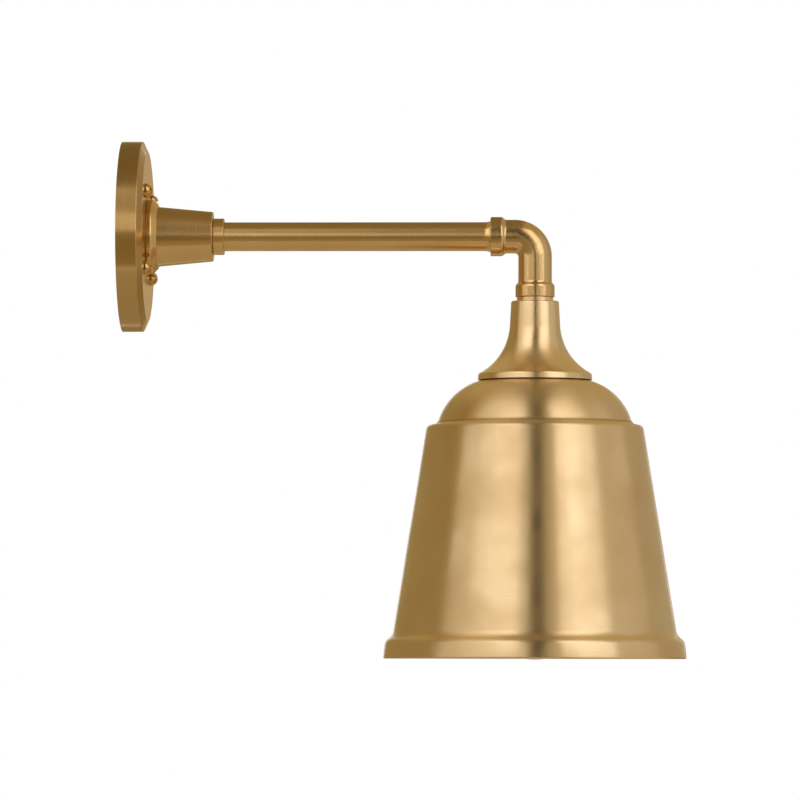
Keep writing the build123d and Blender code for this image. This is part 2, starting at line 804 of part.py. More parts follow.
cap_low_z = cap_top_z - cap_turns * thread_pitch
with BuildPart() as lamp_cap:
    with BuildSketch(drop_side):
        with BuildLine():
            draw_wave(cap_mean_r, cap_top_z, cap_turns)
            Polyline(
                (cap_mean_r, cap_low_z),
                (cap_mean_r, cap_low_z - cap_skirt),
                (cap_bore_r, cap_low_z - cap_skirt),
                (cap_bore_r, cap_top_z),
                (cap_mean_r, cap_top_z),
            )
        make_face()
    revolve(axis=drop_axis)
save(lamp_cap, "lamp_cap")

with BuildPart() as lamp_insulator:
    with BuildSketch(drop_side):
        with BuildLine():
            Polyline(
                (0, cap_top_z - contact_h),
                (cap_bore_r, cap_top_z - contact_h),
                (cap_bore_r, cap_top_z),
                (contact_r, cap_top_z + insulator_h),
                (0, cap_top_z + insulator_h),
                close=True,
            )
        make_face()
    revolve(axis=drop_axis)
save(lamp_insulator, "lamp_insulator")

with BuildPart() as lamp_contact:
    with BuildSketch(drop_side):
        with BuildLine():
            Polyline(
                (contact_tip_r, lamp_top_z),
                (0, lamp_top_z),
                (0, lamp_top_z - contact_h),
                (contact_r, lamp_top_z - contact_h),
            )
            TangentArc((contact_tip_r, lamp_top_z), (contact_r, lamp_top_z - contact_h), tangent=(1, 0))
        make_face()
    revolve(axis=drop_axis)
save(lamp_contact, "lamp_contact")

# The pear is a ball that runs into a hollow curve, which ends upright at the neck.
neck_rise = lamp_neck_z - ball_z
hollow_r = (lamp_neck_r**2 + neck_rise**2 - lamp_r**2) / (2 * (lamp_r - lamp_neck_r))
meet_angle = atan2(neck_rise, lamp_neck_r + hollow_r)
meet = (lamp_r * cos(meet_angle), ball_z + lamp_r * sin(meet_angle))
cap_rim_z = cap_low_z - cap_skirt
with BuildPart() as lamp_glass:
    with BuildSketch(drop_side):
        with BuildLine():
            CenterArc((0, ball_z), lamp_r, -90, 90 + degrees(meet_angle))
            RadiusArc(meet, (lamp_neck_r, lamp_neck_z), hollow_r)
            Polyline(
                (lamp_neck_r, lamp_neck_z),
                (cap_mean_r, cap_rim_z - glass_lip),
                (seal_r, cap_rim_z),
                (seal_r, seal_top_z),
                (0, seal_top_z),
                (0, lamp_tip_z),
            )
        make_face()
    revolve(axis=drop_axis)
    offset(amount=-glass_wall, openings=lamp_glass.faces().sort_by(Axis.Z)[-1])
save(lamp_glass, "lamp_glass")

stem_top_r = seal_r - glass_wall
with BuildPart() as lamp_stem:
    with BuildSketch(drop_side):
        with BuildLine():
            Polyline(
                (0, seal_top_z),
                (stem_top_r, seal_top_z),
                (stem_top_r, stem_flare_z),
                stem_throat,
                (stem_r, stem_throat[1] - stem_throat[0]),
                (stem_r, stem_low_z),
                (0, stem_low_z),
                close=True,
            )
        make_face()
    revolve(axis=drop_axis)
save(lamp_stem, "lamp_stem")

with BuildPart() as lamp_supports:
    for side in (-1, 1):
        with BuildLine() as support_route:
            FilletPolyline(
                (reach, side * support_y, stem_low_z),
                (reach, side * support_y, support_bend_z),
                (reach, side * filament_half, filament_z + filament_rise),
                (reach, side * filament_half, filament_z),
                radius=support_bend_r,
            )
        with BuildSketch(level(stem_low_z)):
            with Locations((0, side * support_y)):
                Circle(support_r)
        sweep(path=support_route.line)
save(lamp_supports, "lamp_supports")

with BuildPart() as lamp_filament:
    with BuildLine() as filament_route:
        FilletPolyline(
            (reach, -filament_half, filament_z),
            (reach, -filament_half, filament_z - filament_drop),
            (reach, filament_half, filament_z - filament_drop),
            (reach, filament_half, filament_z),
            radius=filament_drop / 2,
        )
    with BuildSketch(level(filament_z)):
        with Locations((0, -filament_half)):
            Circle(filament_r)
    sweep(path=filament_route.line)
save(lamp_filament, "lamp_filament")
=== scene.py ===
import logging
import math
from dataclasses import dataclass
from enum import Enum
from typing import Any, Optional, Union

import bpy
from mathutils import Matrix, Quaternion, Vector


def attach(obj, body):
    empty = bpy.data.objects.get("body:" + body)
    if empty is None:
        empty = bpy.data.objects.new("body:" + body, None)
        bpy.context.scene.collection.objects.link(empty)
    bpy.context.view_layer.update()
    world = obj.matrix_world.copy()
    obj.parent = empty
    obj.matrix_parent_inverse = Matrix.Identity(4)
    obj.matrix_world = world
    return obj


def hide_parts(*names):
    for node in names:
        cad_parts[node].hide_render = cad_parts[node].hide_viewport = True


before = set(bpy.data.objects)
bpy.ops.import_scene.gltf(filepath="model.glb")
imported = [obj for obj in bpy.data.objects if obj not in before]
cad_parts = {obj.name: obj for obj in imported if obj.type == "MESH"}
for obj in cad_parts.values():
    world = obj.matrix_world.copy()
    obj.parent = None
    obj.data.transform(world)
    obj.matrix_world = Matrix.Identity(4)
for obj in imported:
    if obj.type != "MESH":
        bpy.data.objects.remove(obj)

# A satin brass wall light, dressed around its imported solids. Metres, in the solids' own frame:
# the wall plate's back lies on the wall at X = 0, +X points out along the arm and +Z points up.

LOG = logging.getLogger("wall_light")
MM = 0.001
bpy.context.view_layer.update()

# Where nearly all of a noise's values lie: slow patches, fine lines and grain.
PATCH_SPAN = (0.35, 0.65)
LINE_SPAN = (0.2, 0.8)
GRAIN_SPAN = (0.3, 0.7)
# Brushing runs round a turned piece, and smears its reflections a quarter turn from that.
QUARTER_TURN = 0.25


class TurnAxis(Enum):
    """The axis that a turned piece was brushed around."""

    ARM = "X"
    DROP = "Z"


def linear(hex_colour: str) -> tuple[float, float, float, float]:
    """Turns an sRGB hex colour into a linear one.

    Args:
        hex_colour: Six hex digits after a hash.

    Returns:
        Linear red, green, blue and an alpha of 1.
    """
    channels = [int(hex_colour[start:start + 2], 16) / 255 for start in (1, 3, 5)]
    made = [c / 12.92 if c <= 0.04045 else ((c + 0.055) / 1.055) ** 2.4 for c in channels]
    return (made[0], made[1], made[2], 1.0)


def add_node(
    tree: bpy.types.NodeTree,
    kind: str,
    settings: Optional[dict[str, Any]] = None,
    inputs: Optional[dict[Any, Any]] = None,
) -> bpy.types.Node:
    """Adds a node, with its settings and with each input either set or linked.

    Args:
        tree: The node tree that the node goes into.
        kind: The node's Blender type name.
        settings: Attributes of the node to set.
        inputs: Input name or index to a value, or to the output socket that feeds it.

    Returns:
        The new node.
    """
    node = tree.nodes.new(kind)
    for name, value in (settings or {}).items():
        setattr(node, name, value)
    for name, value in (inputs or {}).items():
        if isinstance(value, bpy.types.NodeSocket):
            tree.links.new(value, node.inputs[name])
        else:
            node.inputs[name].default_value = value
    return node


def blank_material(name: str) -> tuple[bpy.types.Material, bpy.types.NodeTree]:
    """Makes an empty node material.

    Args:
        name: The material's name.

    Returns:
        The material and its cleared node tree.
    """
    material = bpy.data.materials.new(name)
    material.use_nodes = True
    material.node_tree.nodes.clear()
    return material, material.node_tree


@dataclass
class Station:
    """One ring of a turned piece's surface.

    Attributes:
        along, radius: Millimetres along the axis and out from it.
        before, after: Degrees that the surface faces on each side of the ring: 0 looks along the
            axis and 90 straight out from it.
    """

    along: float
    radius: float
    before: float
    after: float

    def inset(self, wall: float) -> "Station":
        """Gives the ring on the other face of a sheet.

        Args:
            wall: The sheet's thickness in millimetres.

        Returns:
            The ring behind this one, facing the other way.
        """
        middle = math.radians((self.before + self.after) / 2)
        depth = wall / math.cos(math.radians((self.after - self.before) / 2))
        return Station(
            self.along - depth * math.cos(middle), self.radius - depth * math.sin(middle),
            self.after + 180, self.before + 180,
        )


class Outline:
    """A pen that draws the outline of a turned piece, anticlockwise round its material.

    Its heading is in degrees: 0 runs along the axis and 90 runs straight out from it.
    """

    def __init__(self, along: float, radius: float, heading: float = 90.0) -> None:
        """Sets the pen down.

        Args:
            along, radius: Where it starts, in millimetres.
            heading: Which way it sets off.
        """
        self.heading = heading
        self.stations = [Station(along, radius, heading + 90, heading + 90)]

    def turn(self, heading: float) -> "Outline":
        """Makes a sharp corner.

        Args:
            heading: The new heading.

        Returns:
            The pen.
        """
        self.heading = heading
        self.stations[-1].after = heading + 90
        return self

    def run(self, length: float, parts: int = 1) -> "Outline":
        """Draws straight ahead.

        Args:
            length: Millimetres to go.
            parts: How many equal stretches to draw it in.

        Returns:
            The pen.
        """
        way = math.radians(self.heading)
        for _ in range(parts):
            last = self.stations[-1]
            self.stations.append(Station(
                last.along + length / parts * math.cos(way),
                last.radius + length / parts * math.sin(way),
                self.heading + 90, self.heading + 90,
            ))
        return self

    def bend(self, radius: float, degrees: float, step: float = 5.0) -> "Outline":
        """Draws an arc that leaves straight ahead.

        Args:
            radius: The arc's radius in millimetres.
            degrees: How far to turn, positive to turn outwards.
            step: The most degrees between rings.

        Returns:
            The pen.
        """
        parts = max(2, math.ceil(abs(degrees) / step))
        share = degrees / parts
        chord = 2 * radius * math.sin(math.radians(abs(share) / 2))
        for _ in range(parts):
            way = math.radians(self.heading + share / 2)
            last = self.stations[-1]
            self.heading += share
            self.stations.append(Station(
                last.along + chord * math.cos(way), last.radius + chord * math.sin(way),
                self.heading + 90, self.heading + 90,
            ))
        return self

    def arc_to(self, along: float, radius: float, step: float) -> "Outline":
        """Draws an arc that leaves straight ahead and ends at a point.

        Args:
            along, radius: The point, in millimetres.
            step: The most degrees between rings.

        Returns:
            The pen.
        """
        ahead, out = along - self.stations[-1].along, radius - self.stations[-1].radius
        half = math.degrees(math.atan2(out, ahead)) - self.heading
        curve = math.hypot(ahead, out) / (2 * math.sin(math.radians(abs(half))))
        return self.bend(curve, 2 * half, step)

    def to(self, along: float, radius: float) -> "Outline":
        """Turns sharply to face a point and draws to it.

        Args:
            along, radius: The point, in millimetres.

        Returns:
            The pen.
        """
        ahead, out = along - self.stations[-1].along, radius - self.stations[-1].radius
        return self.turn(math.degrees(math.atan2(out, ahead))).run(math.hypot(ahead, out))

    def corner(
        self, along: float, radius: float, heading: float, rounding: float = 0.0
    ) -> "Outline":
        """Draws towards a corner, rounds it and leaves it.

        Args:
            along, radius: Where the corner would be if it were sharp.
            heading: The heading after it.
            rounding: The radius that it is rounded to, 0 for a sharp corner.

        Returns:
            The pen.
        """
        ahead, out = along - self.stations[-1].along, radius - self.stations[-1].radius
        way = math.degrees(math.atan2(out, ahead))
        if abs(way - self.heading) > 0.01:
            self.turn(way)
        change = heading - way
        cut = rounding * math.tan(math.radians(abs(change) / 2))
        self.run(math.hypot(ahead, out) - cut)
        return self.bend(rounding, change) if rounding else self.turn(heading)

    def inside(self, wall: float) -> list[Station]:
        """Gives the outline so far on the sheet's other face, from its end back to its start."""
        return [station.inset(wall) for station in reversed(self.stations)]

    def join(self, rings: list[Station]) -> "Outline":
        """Draws to the first of some rings and goes on along them.

        Args:
            rings: The rings, in drawing order.

        Returns:
            The pen.
        """
        self.to(rings[0].along, rings[0].radius)
        self.stations[-1].after = rings[0].after
        self.stations += rings[1:]
        return self

    def closed(self) -> list[Station]:
        """Joins the end to the start.

        Returns:
            The rings, the last of which runs on into the first.
        """
        first, last = self.stations[0], self.stations[-1]
        way = math.degrees(math.atan2(first.radius - last.radius, first.along - last.along))
        last.after = first.before = way + 90
        return self.stations


@dataclass(frozen=True)
class ArmSpine:
    """The arm's axis, which runs straight out of the wall."""

    def frame(self, along: float) -> tuple[Vector, Vector, Vector]:
        """Gives the axis's place, its direction and a square-on direction, in millimetres."""
        return Vector((along, 0, 0)), Vector((1, 0, 0)), Vector((0, 0, 1))


@dataclass(frozen=True)
class DropSpine:
    """The drop's axis, which runs straight down. Distances along it are depths below the arm."""

    reach: float

    def frame(self, along: float) -> tuple[Vector, Vector, Vector]:
        """Gives the axis's place, its direction and a square-on direction, in millimetres."""
        return Vector((self.reach, 0, -along)), Vector((0, 0, -1)), Vector((1, 0, 0))


@dataclass(frozen=True)
class ElbowSpine:
    """An axis that runs out along the arm, round a quarter bend and down the drop."""

    start_x: float
    bend_x: float
    bend_radius: float

    def frame(self, along: float) -> tuple[Vector, Vector, Vector]:
        """Gives the axis's place, its direction and a square-on direction.

        Args:
            along: Millimetres from the start.

        Returns:
            The place in millimetres and the two directions.
        """
        lead = self.bend_x - self.start_x
        turned = min(max((along - lead) / self.bend_radius, 0.0), math.pi / 2)
        ahead = Vector((math.cos(turned), 0, -math.sin(turned)))
        out = Vector((math.sin(turned), 0, math.cos(turned)))
        corner = Vector((self.bend_x, 0, -self.bend_radius))
        place = corner + out * self.bend_radius
        straight = along - lead - turned * self.bend_radius
        return place + ahead * straight, ahead, out


Spine = Union[ArmSpine, DropSpine, ElbowSpine]


def turned_piece(name: str, rings: list[Station], spine: Spine, sides: int) -> bpy.types.Object:
    """Makes a round piece from its outline, with every normal exact.

    Args:
        name: The piece's name.
        rings: The closed outline.
        spine: The axis that it is round about.
        sides: How many sides stand for the circle.

    Returns:
        The piece, linked to the scene.
    """
    turns = [math.tau * side / sides for side in range(sides)]
    spots, facings = [], []
    for ring in rings:
        place, ahead, out = spine.frame(ring.along)
        aside = ahead.cross(out)
        spokes = [out * math.cos(turn) + aside * math.sin(turn) for turn in turns]
        spots += [tuple((place + spoke * ring.radius) * MM) for spoke in spokes]
        facings.append([
            [ahead * math.cos(angle) + spoke * math.sin(angle) for spoke in spokes]
            for angle in (math.radians(ring.before), math.radians(ring.after))
        ])
    faces, normals = [], []
    for near in range(len(rings)):
        far = (near + 1) % len(rings)
        for side in range(sides):
            other = (side + 1) % sides
            faces.append((
                near * sides + side, near * sides + other, far * sides + other, far * sides + side
            ))
            normals += [
                facings[near][1][side], facings[near][1][other],
                facings[far][0][other], facings[far][0][side],
            ]
    mesh = bpy.data.meshes.new(name)
    mesh.from_pydata(spots, [], faces)
    mesh.polygons.foreach_set("use_smooth", [True] * len(faces))
    mesh.normals_split_custom_set([tuple(normal) for normal in normals])
    piece = bpy.data.objects.new(name, mesh)
    bpy.context.scene.collection.objects.link(piece)
    return piece


@dataclass(frozen=True)
class Finish:
    """What every finish has: a name, and a shader that is drawn once and then shared."""

    name: str

    def shade(self, tree: bpy.types.NodeTree) -> bpy.types.NodeSocket:
        """Draws the finish. Each kind of finish has its own.

        Args:
            tree: The material's node tree.

        Returns:
            The shader socket for the material's surface.
        """
        raise NotImplementedError

    def material(self) -> bpy.types.Material:
        """Gives the finish's material, made on first use.

        Returns:
            The material.
        """
        if self.name in bpy.data.materials:
            return bpy.data.materials[self.name]
        material, tree = blank_material(self.name)
        add_node(tree, "ShaderNodeOutputMaterial", inputs={"Surface": self.shade(tree)})
        return material


@dataclass(frozen=True)
class TurnedBrass(Finish):
    """Brass that was turned on a lathe, brushed while it spun, darkened a little and lacquered.

    To the eye: reflections stay crisp round the piece and smear along it, fine rings follow the
    brushing, and the tone drifts in soft patches where the burnishing was uneven.

    Attributes:
        centre: A point of the axis, in metres.
        smear: How far the brushing pulls reflections along the piece, from 0 to 1.
        line_swing, patch_swing: How much the lines and the patches change the roughness.
        polished_r: Where a face was buffed bright up to, in millimetres, or 0 if it wasn't.
        Seam shading: place along the axis, half width and strength of each dark band of painted
            shade.
    """

    axis: TurnAxis = TurnAxis.DROP
    centre: tuple[float, float, float] = (0.0, 0.0, 0.0)
    colour: str = "#F7DCB4"
    shadow_colour: str = "#EECC9B"
    shadow_share: float = 0.45
    roughness: float = 0.33
    smear: float = 0.9
    line_mm: float = 1.2
    line_depth_mm: float = 0.0006
    line_length_mm: float = 40.0
    line_swing: float = 0.16
    patch_mm: float = 38.0
    patch_swing: float = 0.16
    polished_r: float = 0.0
    polished_edge_mm: float = 4.0
    polished_roughness: float = 0.13
    # Dark bands of painted shade in the seam and groove, with their colour and roughness.
    painted_shade_seams: tuple[tuple[float, float, float], ...] = ()
    seam_shade_colour: str = "#5F4420"
    seam_shade_roughness: float = 0.6

    def shade(self, tree: bpy.types.NodeTree) -> bpy.types.NodeSocket:
        """Draws rings about the axis, soft patches and a smeared gloss.

        Args:
            tree: The material's node tree.

        Returns:
            The shader socket.
        """
        place = add_node(tree, "ShaderNodeTexCoord").outputs["Object"]
        local = add_node(
            tree, "ShaderNodeVectorMath", {"operation": "SUBTRACT"}, {0: place, 1: self.centre}
        ).outputs[0]
        across = (0.0, 1.0, 1.0) if self.axis is TurnAxis.ARM else (1.0, 1.0, 0.0)
        flat = add_node(
            tree, "ShaderNodeVectorMath", {"operation": "MULTIPLY"}, {0: local, 1: across}
        ).outputs[0]
        radius = add_node(
            tree, "ShaderNodeVectorMath", {"operation": "LENGTH"}, {0: flat}
        ).outputs["Value"]
        # The lines are about 0.1 mm on the real piece, and are drawn wider so that they show.
        lines = 1.0 / (self.line_mm * MM)
        round_piece = 1.0 / (self.line_length_mm * MM)
        stretch = tuple(lines if share == 0.0 else round_piece for share in across)
        squeezed = add_node(
            tree, "ShaderNodeVectorMath", {"operation": "MULTIPLY"}, {0: local, 1: stretch}
        ).outputs[0]
        depth = add_node(
            tree, "ShaderNodeMath", {"operation": "MULTIPLY"}, {0: radius, 1: lines}
        ).outputs[0]
        rings = add_node(
            tree, "ShaderNodeTexNoise", {"noise_dimensions": "4D"},
            {"Vector": squeezed, "W": depth, "Scale": 1.0, "Detail": 3.0, "Roughness": 0.6},
        ).outputs[0]
        patches = add_node(
            tree, "ShaderNodeTexNoise", {"noise_dimensions": "3D"},
            {"Vector": local, "Scale": 1.0 / (self.patch_mm * MM), "Detail": 2.0},
        ).outputs[0]
        thin, thick = PATCH_SPAN
        tone = add_node(
            tree, "ShaderNodeMapRange",
            inputs={0: patches, 1: thin, 2: thick, 3: 0.0, 4: self.shadow_share},
        ).outputs[0]
        colour = add_node(
            tree, "ShaderNodeMix", {"data_type": "RGBA"},
            {0: tone, 6: linear(self.colour), 7: linear(self.shadow_colour)},
        ).outputs[2]
        least = self.roughness * (1 - self.patch_swing)
        most = self.roughness * (1 + self.patch_swing)
        cloud = add_node(
            tree, "ShaderNodeMapRange",
            inputs={0: patches, 1: thin, 2: thick, 3: least, 4: most},
        ).outputs[0]
        shallow, deep = LINE_SPAN
        line = add_node(
            tree, "ShaderNodeMapRange",
            inputs={0: rings, 1: shallow, 2: deep, 3: 1 - self.line_swing, 4: 1 + self.line_swing},
        ).outputs[0]
        gloss = add_node(
            tree, "ShaderNodeMath", {"operation": "MULTIPLY"}, {0: cloud, 1: line}
        ).outputs[0]
        if self.polished_r:
            # The middle of the face was buffed bright before the rim was brushed.
            inner, outer = self.polished_r * MM, (self.polished_r + self.polished_edge_mm) * MM
            gloss = add_node(
                tree, "ShaderNodeMapRange",
                inputs={0: radius, 1: inner, 2: outer, 3: self.polished_roughness, 4: gloss},
            ).outputs[0]
        # Painted shade: dark bands where the seam and groove fall in shadow.
        colour, gloss = self.paint_seam_shade(tree, place, colour, gloss)
        bump = add_node(
            tree, "ShaderNodeBump",
            inputs={"Height": rings, "Distance": self.line_depth_mm * MM, "Strength": 1.0},
        ).outputs[0]
        tangent = add_node(
            tree, "ShaderNodeTangent", {"direction_type": "RADIAL", "axis": self.axis.value}
        ).outputs[0]
        return add_node(
            tree, "ShaderNodeBsdfPrincipled",
            inputs={
                "Base Color": colour, "Metallic": 1.0, "Roughness": gloss,
                "Anisotropic": self.smear, "Anisotropic Rotation": QUARTER_TURN,
                "Normal": bump, "Tangent": tangent,
            },
        ).outputs[0]

    def paint_seam_shade(
        self,
        tree: bpy.types.NodeTree,
        place: bpy.types.NodeSocket,
        colour: bpy.types.NodeSocket,
        gloss: bpy.types.NodeSocket,
    ) -> tuple[bpy.types.NodeSocket, bpy.types.NodeSocket]:
        """Paints shade into the seam and the groove: a dark, patina-coloured band where shadow
        falls.

        Args:
            tree: The material's node tree.
            place: Where the shaded point is, in metres.
            colour, gloss: The colour and roughness away from the painted shade.

        Returns:
            The colour and roughness with the painted shade in them.
        """
        ways = add_node(tree, "ShaderNodeSeparateXYZ", inputs={0: place})
        # Each band is painted shade, darkening the colour and dulling the gloss where the gap and
        # groove fall in shadow.
        for middle, half_width, strength in self.painted_shade_seams:
            away = add_node(
                tree, "ShaderNodeMath", {"operation": "SUBTRACT"},
                {0: ways.outputs[self.axis.value], 1: middle * MM},
            ).outputs[0]
            gap = add_node(tree, "ShaderNodeMath", {"operation": "ABSOLUTE"}, {0: away}).outputs[0]
            share = add_node(
                tree, "ShaderNodeMapRange", {"interpolation_type": "SMOOTHSTEP"},
                {0: gap, 1: half_width * MM / 3, 2: half_width * MM, 3: strength, 4: 0.0},
            ).outputs[0]
            colour = add_node(
                tree, "ShaderNodeMix", {"data_type": "RGBA"},
                {0: share, 6: colour, 7: linear(self.seam_shade_colour)},
            ).outputs[2]
            gloss = add_node(
                tree, "ShaderNodeMapRange", inputs={0: share, 3: gloss, 4: self.seam_shade_roughness}
            ).outputs[0]
        return colour, gloss


@dataclass(frozen=True)
class WorkedMetal(Finish):
    """Metal with no lathe lines: cast and hand polished, plated, pressed or drawn.

    To the eye: an even gloss whose tone and sharpness drift a little from place to place.
    """

    colour: str = "#F7DBB5"
    second_colour: str = "#EECB9C"
    roughness: float = 0.2
    grain_mm: float = 2.0
    grain_depth_mm: float = 0.0006
    gloss_span: tuple[float, float] = (0.8, 1.25)

    def shade(self, tree: bpy.types.NodeTree) -> bpy.types.NodeSocket:
        """Draws a fine grain in the colour, the gloss and the surface.

        Args:
            tree: The material's node tree.

        Returns:
            The shader socket.
        """
        place = add_node(tree, "ShaderNodeTexCoord").outputs["Object"]
        grain = add_node(
            tree, "ShaderNodeTexNoise",
            inputs={"Vector": place, "Scale": 1.0 / (self.grain_mm * MM), "Detail": 4.0},
        ).outputs[0]
        colour = add_node(
            tree, "ShaderNodeMix", {"data_type": "RGBA"},
            {0: grain, 6: linear(self.colour), 7: linear(self.second_colour)},
        ).outputs[2]
        low, high = GRAIN_SPAN
        least, most = (self.roughness * share for share in self.gloss_span)
        gloss = add_node(
            tree, "ShaderNodeMapRange", inputs={0: grain, 1: low, 2: high, 3: least, 4: most}
        ).outputs[0]
        bump = add_node(
            tree, "ShaderNodeBump",
            inputs={"Height": grain, "Distance": self.grain_depth_mm * MM, "Strength": 1.0},
        ).outputs[0]
        return add_node(
            tree, "ShaderNodeBsdfPrincipled",
            inputs={"Base Color": colour, "Metallic": 1.0, "Roughness": gloss, "Normal": bump},
        ).outputs[0]


@dataclass(frozen=True)
class SolidFinish(Finish):
    """A finish with body colour: glazed porcelain, extruded vinyl or fused glass.

    To the eye: a coloured body under a gloss, with a faint unevenness from the kiln or the die.
    """

    colour: str = "#F1EEE6"
    second_colour: str = "#E7E2D6"
    roughness: float = 0.15
    ior: float = 1.5
    grain_mm: float = 4.0
    grain_depth_mm: float = 0.02
    gloss_span: tuple[float, float] = (0.8, 1.3)

    def shade(self, tree: bpy.types.NodeTree) -> bpy.types.NodeSocket:
        """Draws a mottled body under an even gloss.

        Args:
            tree: The material's node tree.

        Returns:
            The shader socket.
        """
        place = add_node(tree, "ShaderNodeTexCoord").outputs["Object"]
        grain = add_node(
            tree, "ShaderNodeTexNoise",
            inputs={"Vector": place, "Scale": 1.0 / (self.grain_mm * MM), "Detail": 3.0},
        ).outputs[0]
        colour = add_node(
            tree, "ShaderNodeMix", {"data_type": "RGBA"},
            {0: grain, 6: linear(self.colour), 7: linear(self.second_colour)},
        ).outputs[2]
        low, high = GRAIN_SPAN
        least, most = (self.roughness * share for share in self.gloss_span)
        gloss = add_node(
            tree, "ShaderNodeMapRange", inputs={0: grain, 1: low, 2: high, 3: least, 4: most}
        ).outputs[0]
        bump = add_node(
            tree, "ShaderNodeBump",
            inputs={"Height": grain, "Distance": self.grain_depth_mm * MM, "Strength": 1.0},
        ).outputs[0]
        return add_node(
            tree, "ShaderNodeBsdfPrincipled",
            inputs={"Base Color": colour, "Roughness": gloss, "IOR": self.ior, "Normal": bump},
        ).outputs[0]


@dataclass(frozen=True)
class BlownGlass(Finish):
    """Clear soda-lime glass, blown in a mould. To the eye: bright edges, a faint wave, no colour."""

    colour: str = "#FBFCFB"
    roughness: float = 0.01
    ior: float = 1.5
    wave_mm: float = 14.0
    wave_depth_mm: float = 0.05

    def shade(self, tree: bpy.types.NodeTree) -> bpy.types.NodeSocket:
        """Draws clear glass with a slow wave left by the blowing.

        Args:
            tree: The material's node tree.

        Returns:
            The shader socket.
        """
        place = add_node(tree, "ShaderNodeTexCoord").outputs["Object"]
        wave = add_node(
            tree, "ShaderNodeTexNoise",
            inputs={"Vector": place, "Scale": 1.0 / (self.wave_mm * MM), "Detail": 1.0},
        ).outputs[0]
        bump = add_node(
            tree, "ShaderNodeBump",
            inputs={"Height": wave, "Distance": self.wave_depth_mm * MM, "Strength": 1.0},
        ).outputs[0]
        return add_node(
            tree, "ShaderNodeBsdfPrincipled",
            inputs={
                "Base Color": linear(self.colour), "Roughness": self.roughness, "IOR": self.ior,
                "Transmission Weight": 1.0, "Normal": bump,
            },
        ).outputs[0]


# Cold blue-grey with a soft spangle.
ZINC = WorkedMetal("zinc_plated_steel", "#C9CDD0", "#B4B9BD", 0.32, 3.0)
# A warmer and brighter grey than the zinc.
NICKEL = WorkedMetal("nickel_plated_brass", "#D6D2C8", "#C6C1B5", 0.22, 2.0)
# Salmon pink, dulled by the air.
COPPER = WorkedMetal("drawn_copper", "#E0A184", "#CE8A6C", 0.3, 1.5)


class SubAssembly:
    """A group of pieces that are made and finished together."""

    def build(self) -> None:
        """Makes the group's turned pieces, if it has any."""

    def finishes(self) -> dict[str, Finish]:
        """Gives the finish of each solid that shows as it is."""
        return {}

    def dress(self) -> None:
        """Gives each of those solids its finish."""
        for node, finish in self.finishes().items():
            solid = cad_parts[node]
            solid.data.materials.clear()
            solid.data.materials.append(finish.material())
            LOG.info("%s: %s", node, finish.name)

    def put(
        self, node: str, outline: Outline, spine: Spine, finish: Finish, sides: int = 128
    ) -> None:
        """Makes one turned brass piece in the place of a plain solid.

        Args:
            node: The solid that it stands for.
            outline: Its outline.
            spine: Its axis.
            finish: Its finish.
            sides: How many sides stand for the circle.
        """
        piece = turned_piece(f"{node}_turned", outline.closed(), spine, sides)
        piece.data.materials.append(finish.material())
        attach(piece, "fixture")
        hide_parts(node)
        LOG.info("%s: turned, %s", node, finish.name)


class WallSide(SubAssembly):
    """The wall plate with its screws, and the steel behind it."""

    def finishes(self) -> dict[str, Finish]:
        """Gives the finish of each solid."""
        return {
            # Painted shade: the same brass drawn darker and browner for the plate; a mirror in the
            # middle, and satin out to the edge.
            "wall_plate": TurnedBrass(
                "turned_brass_plate_painted_shade", TurnAxis.ARM, colour="#D2AE77", shadow_colour="#C69E66",
                roughness=0.22, smear=0.1, line_depth_mm=0.0015, polished_r=57.0,
            ),
            # Small bright heads that catch a sharp highlight.
            "plate_screws": WorkedMetal("polished_brass_screws", "#DDB574", "#CDA05F", 0.1),
            "mounting_plate": ZINC,
            # A metallic green that tells the ground screw from the others.
            "ground_screw": WorkedMetal("green_dyed_zinc", "#3E8F55", "#2F7645", 0.35, 2.0),
            "ground_lead": COPPER,
            "socket_nipple": ZINC,
            "socket_washer": ZINC,
            "socket_nut": ZINC,
        }


